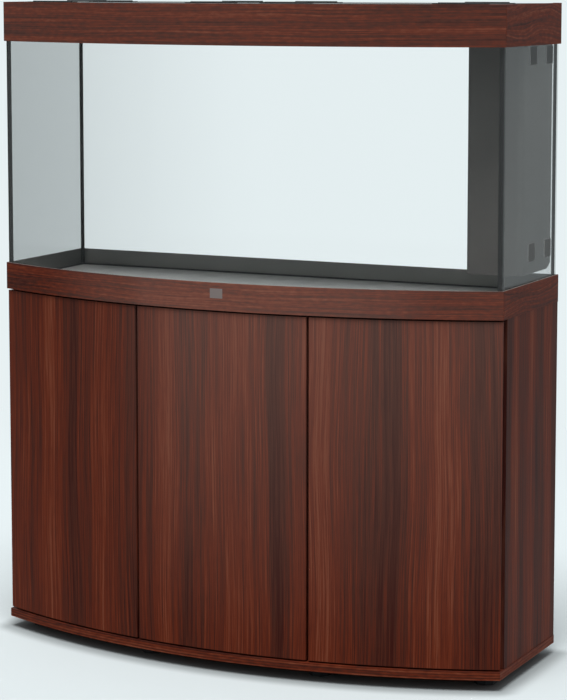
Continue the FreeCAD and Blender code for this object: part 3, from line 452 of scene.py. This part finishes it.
# Rings of a pan head: reach and height as shares of its radius
SCREW_RINGS = ((1.0, 0.0), (1.0, 0.16), (0.92, 0.36), (0.72, 0.50), (0.52, 0.56), (0.36, 0.59),
               (0.20, 0.60))
SCREW_TOP = (0.0, 0.60)
SCREW_SIDES = 24
RECESS_OUT = 0.55            # cross recess: reach, half width and depth, as shares of the radius
RECESS_HALF = 0.10
RECESS_DEEP = 0.35

CAST_NEAR = 0.05             # a line towards a fitting between boards starts this far from it
CAST_FAR = 0.1               # and one towards a fitting in the open this far
SAME_FACE = 0.001            # two faces nearer than this are one


def head_points(centre, out, radius):
    """Points of one cross-recessed pan head, ring by ring up to its middle."""
    turn = Vector(out).to_track_quat("Z", "Y").to_matrix()
    points = []
    for share, up in SCREW_RINGS + (SCREW_TOP,):
        for i in range(SCREW_SIDES if share else 1):
            a = 2 * math.pi * i / SCREW_SIDES
            x, y = share * math.cos(a), share * math.sin(a)
            cut = share < RECESS_OUT and min(abs(x), abs(y)) < RECESS_HALF
            points.append(Vector(centre) + turn @ Vector((x, y, up - RECESS_DEEP * cut)) * radius)
    return points


def head_faces(start):
    """Faces of a head whose first point is number start."""
    faces = []
    for ring in range(len(SCREW_RINGS) - 1):
        for i in range(SCREW_SIDES):
            j = (i + 1) % SCREW_SIDES
            a, b = start + ring * SCREW_SIDES, start + (ring + 1) * SCREW_SIDES
            faces.append((a + i, a + j, b + j, b + i))
    last = start + (len(SCREW_RINGS) - 1) * SCREW_SIDES
    for i in range(SCREW_SIDES):
        faces.append((last + i, last + (i + 1) % SCREW_SIDES, last + SCREW_SIDES))
    return faces


def screws(name, body, spots):
    """One piece of screw heads. spots are (point, outward direction, head radius)."""
    points, faces = [], []
    for centre, out, radius in spots:
        faces += head_faces(len(points))
        points += head_points(centre, out, radius)
    mesh = bpy.data.meshes.new(name)
    mesh.from_pydata(points, [], faces)
    piece = bpy.data.objects.new(name, mesh)
    scene.collection.objects.link(piece)
    dress(piece, MATERIALS["nickel"])
    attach(piece, body)


def world_points(node):
    return [nodes[node].matrix_world @ v.co for v in nodes[node].data.vertices]


def solids(node):
    """Boxes (low, high) of the separate solids in a CAD node."""
    at = world_points(node)
    key = [tuple(round(c, 6) for c in p) for p in at]
    group = {k: k for k in key}

    def root(k):
        while group[k] != k:
            group[k] = group[group[k]]
            k = group[k]
        return k

    for face in nodes[node].data.polygons:
        first = root(key[face.vertices[0]])
        for v in face.vertices:
            group[root(key[v])] = first
    found = {}
    for p, k in zip(at, key):
        found.setdefault(root(k), []).append(p)
    return [(Vector([min(p[i] for p in ps) for i in range(3)]),
             Vector([max(p[i] for p in ps) for i in range(3)])) for ps in found.values()]


def surface(node, start, toward):
    """Where a straight line from start first meets a CAD node: (point, outward direction)."""
    obj = nodes[node]
    back = obj.matrix_world.inverted()
    hit, at, out, _ = obj.ray_cast(back @ Vector(start), back.to_3x3() @ Vector(toward))
    if not hit:
        raise ValueError(f"nothing of {node} lies along that line")
    return obj.matrix_world @ at, (obj.matrix_world.to_3x3() @ out).normalized()


def side_screws(node, places):
    """Screws at (y, z) places of every solid of a node, on its side that no board carries."""
    boards = [corner[0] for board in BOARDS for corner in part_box(board)]
    spots = []
    for low, high in solids(node):
        for y, z in places(low, high):
            for side in (-1, 1):
                start = ((low.x + high.x) / 2 + side * CAST_NEAR, y, z)
                point, out = surface(node, start, (-side, 0, 0))
                if all(abs(point.x - face) > SAME_FACE for face in boards):
                    spots.append((point, out, SCREW_R))
    return spots


def hinge_arm_places(low, high):
    middle = (low.z + high.z) / 2
    return [(high.y - HINGE_SCREW_IN, middle + side * HINGE_SCREW_UP) for side in (-1, 1)]


def catch_places(low, high):
    return [(y, (low.z + high.z) / 2) for y in (low.y + CATCH_SCREW_IN, high.y - CATCH_SCREW_IN)]


def wing_screws(door):
    """Screws in both wings of every hinge cup of a door."""
    cups = f"door_{door}_cups"
    spots = []
    for low, high in solids(cups):
        middle = (low + high) / 2
        for side in (-1, 1):
            start = (middle.x, middle.y + CAST_FAR, middle.z + side * WING_SCREW_UP)
            spots.append((*surface(cups, start, (0, -1, 0)), SCREW_R))
    return spots


def back_screws():
    """Screws all round the edge of the rear panel."""
    low, high = (Vector(corner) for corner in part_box("back_panel"))
    inset = Vector((BACK_SCREW_IN, 0, BACK_SCREW_IN))
    first, last = low + inset, high - inset
    across, upward = BACK_SCREWS
    spots = []
    for i in range(across):
        for k in range(upward):
            if i in (0, across - 1) or k in (0, upward - 1):
                x = first.x + (last.x - first.x) * i / (across - 1)
                z = first.z + (last.z - first.z) * k / (upward - 1)
                spots.append((Vector((x, high.y, z)), (0, 1, 0), SCREW_R))
    return spots


def cover_screws():
    """Two screws in the inboard side of the cable cover, above the deck."""
    low, high = (Vector(corner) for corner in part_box("cable_cover"))
    middle = (low + high) / 2
    z = (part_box("hood_frame")[1][2] + high.z) / 2
    spots = []
    for side in (-1, 1):
        start = (high.x + CAST_FAR, middle.y + side * COVER_SCREW_Y, z)
        spots.append((*surface("cable_cover", start, (-1, 0, 0)), COVER_SCREW_R))
    return spots


screws("hinge_arm_screws", FIXED, side_screws("hinge_arms", hinge_arm_places))
screws("catch_screws", FIXED, side_screws("catch_housings", catch_places))
for door in ("left", "centre", "right"):
    screws(f"door_{door}_cup_screws", f"{door}_door", wing_screws(door))
screws("back_panel_screws", FIXED, back_screws())
screws("cable_cover_screws", "hood", cover_screws())


# ---------------------------------------------------------------- floor and world
FLOOR_SIZE = 120.0
FLOOR_BOUNCE_AND_SHADE = 0.32          # for the light that it throws back, and as painted shade close to the object
FLOOR_SEEN = 0.665           # the albedo that shows the background's tone in the open
FLOOR_FADE = 0.05            # from the painted shade to the open tone, away from the base board
FLOOR_END = (1.2, 2.6)       # from the lit floor to the plain background, away from the board
FLOOR_SPOT = (0.5, 0.5, 0.5)
END_STRIP = 0.0005           # points this near the end of a board belong to it
WORLD_HORIZON = 0.22         # light from the side and from straight above
WORLD_ZENITH = 0.75
WORLD_TINT = (0.97, 0.99, 1.0)


def seen_ray(tree):
    """1 for rays that show the background: seen straight, through glass or as a reflection."""
    path = tree.nodes.new("ShaderNodeLightPath")
    shown = path.outputs["Is Camera Ray"]
    for other in ("Is Transmission Ray", "Is Glossy Ray"):
        top = tree.nodes.new("ShaderNodeMath")
        top.operation = "MAXIMUM"
        tree.links.new(shown, top.inputs[0])
        tree.links.new(path.outputs[other], top.inputs[1])
        shown = top.outputs[0]
    return shown


def bow_sag(node):
    """How far the middle of a bowed board stands in front of its ends."""
    at = world_points(node)
    end = max(p.x for p in at)
    return min(p.y for p in at if p.x > end - END_STRIP) - min(p.y for p in at)


def away_from_base(t, place):
    """Distance of a floor point from the bow-fronted outline of the base board, 0 inside it."""
    low, high = (Vector(corner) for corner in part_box("base_board"))
    sag = bow_sag("base_board")
    radius = (high.x ** 2 + sag ** 2) / (2 * sag)
    reach = t.length(t.vector(place[0], t.math("SUBTRACT", place[1], low.y + radius)))
    in_front = t.math("LESS_THAN", place[1], low.y + sag)
    past = (
        t.math("SUBTRACT", t.math("ABSOLUTE", place[0]), high.x),
        t.math("SUBTRACT", place[1], high.y),
        t.math("MULTIPLY", t.math("SUBTRACT", reach, radius), in_front),
    )
    return t.length(t.vector(*[t.math("MAXIMUM", value, 0.0) for value in past]))


def floor_material():
    """Pale floor that keeps the shadow, with painted shade close to the base, and turns into the
    plain background further away.
    """
    t = Tree("floor")
    place = t.place()
    away = away_from_base(t, place)
    seen = seen_ray(t.tree)
    open_floor = t.ramp(away, ((0.0, 0.0), (FLOOR_FADE, 1.0)), "EASE")
    open_floor = t.math("MULTIPLY", open_floor, seen)
    cloud = t.noise(t.vector(place[0], place[1]), 6.0, 2.0)
    # painted shade: the darker tone close to the base board, which unseen rays take everywhere as
    # the light the floor throws back
    shade_tone = tuple(FLOOR_BOUNCE_AND_SHADE * c / max(BACKGROUND) for c in BACKGROUND)
    shade_tone = t.mix(t.math("MULTIPLY", cloud, 0.05), shade_tone, FLOOR_SPOT)
    open_tone = tuple(FLOOR_SEEN * c for c in BACKGROUND)
    t.set(Base_Color=t.mix(open_floor, shade_tone, open_tone), Roughness=0.9,
          Specular_IOR_Level=0.0)
    start, end = FLOOR_END
    far = t.ramp(t.math("DIVIDE", away, end), ((start / end, 0.0), (1.0, 1.0)), "EASE")
    plain = t.add("ShaderNodeEmission", {"Color": BACKGROUND, "Strength": 1.0}).outputs[0]
    blend = t.add("ShaderNodeMixShader", {0: t.math("MULTIPLY", far, seen),
                                          1: t.bsdf.outputs[0], 2: plain})
    t.tree.links.new(blend.outputs[0], t.output.inputs[0])
    return t.mat


def make_floor():
    s = FLOOR_SIZE
    mesh = bpy.data.meshes.new("floor")
    mesh.from_pydata([(-s, -s, 0), (s, -s, 0), (s, s, 0), (-s, s, 0)], [], [(0, 1, 2, 3)])
    plane = bpy.data.objects.new("floor", mesh)
    scene.collection.objects.link(plane)
    dress(plane, floor_material())


def make_world():
    """Light that grows from the horizon up, with the plain background for the rays that show it."""
    world = bpy.data.worlds.new("studio")
    world.use_nodes = True
    tree = world.node_tree
    tree.nodes.clear()
    shown = tree.nodes.new("ShaderNodeBackground")
    shown.inputs[0].default_value = (*BACKGROUND, 1)
    shown.inputs[1].default_value = 1.0
    light = tree.nodes.new("ShaderNodeBackground")
    light.inputs[0].default_value = (*WORLD_TINT, 1)
    toward = tree.nodes.new("ShaderNodeTexCoord").outputs["Generated"]
    split = tree.nodes.new("ShaderNodeSeparateXYZ")
    tree.links.new(toward, split.inputs[0])
    level = tree.nodes.new("ShaderNodeMapRange")
    level.inputs["To Min"].default_value = WORLD_HORIZON
    level.inputs["To Max"].default_value = WORLD_ZENITH
    tree.links.new(split.outputs[2], level.inputs["Value"])
    tree.links.new(level.outputs[0], light.inputs[1])
    mix = tree.nodes.new("ShaderNodeMixShader")
    out = tree.nodes.new("ShaderNodeOutputWorld")
    tree.links.new(seen_ray(tree), mix.inputs[0])
    tree.links.new(light.outputs[0], mix.inputs[1])
    tree.links.new(shown.outputs[0], mix.inputs[2])
    tree.links.new(mix.outputs[0], out.inputs[0])
    scene.world = world


make_floor()
make_world()


# ---------------------------------------------------------------- lamp and camera
SUN_FROM = (0.10, -0.34, 1.0)
SUN_STRENGTH = 3.3
SUN_ANGLE = 30.0

CAMERA_AT = (2.3865, -4.7880, 1.4920)
CAMERA_YAW = 26.035
CAMERA_PITCH = 6.394         # downward
CAMERA_LENS = 125.27         # in millimetres, as is the sensor's width
CAMERA_SENSOR = 36.0
CAMERA_SHIFT = -0.14
CAMERA_REACH = 400.0


def make_sun():
    lamp = bpy.data.lights.new("soft_sun", "SUN")
    lamp.energy = SUN_STRENGTH
    lamp.angle = math.radians(SUN_ANGLE)
    holder = bpy.data.objects.new("soft_sun", lamp)
    holder.rotation_euler = Vector(SUN_FROM).to_track_quat("Z", "Y").to_euler()
    scene.collection.objects.link(holder)


def make_camera():
    camera = bpy.data.objects.new("camera", bpy.data.cameras.new("camera"))
    camera.location = CAMERA_AT
    camera.rotation_euler = (math.radians(90 - CAMERA_PITCH), 0, math.radians(CAMERA_YAW))
    camera.data.sensor_width = CAMERA_SENSOR
    camera.data.lens = CAMERA_LENS
    camera.data.shift_y = CAMERA_SHIFT
    camera.data.clip_end = CAMERA_REACH
    scene.collection.objects.link(camera)
    scene.camera = camera


make_sun()
make_camera()
scene.view_settings.view_transform = "Standard"
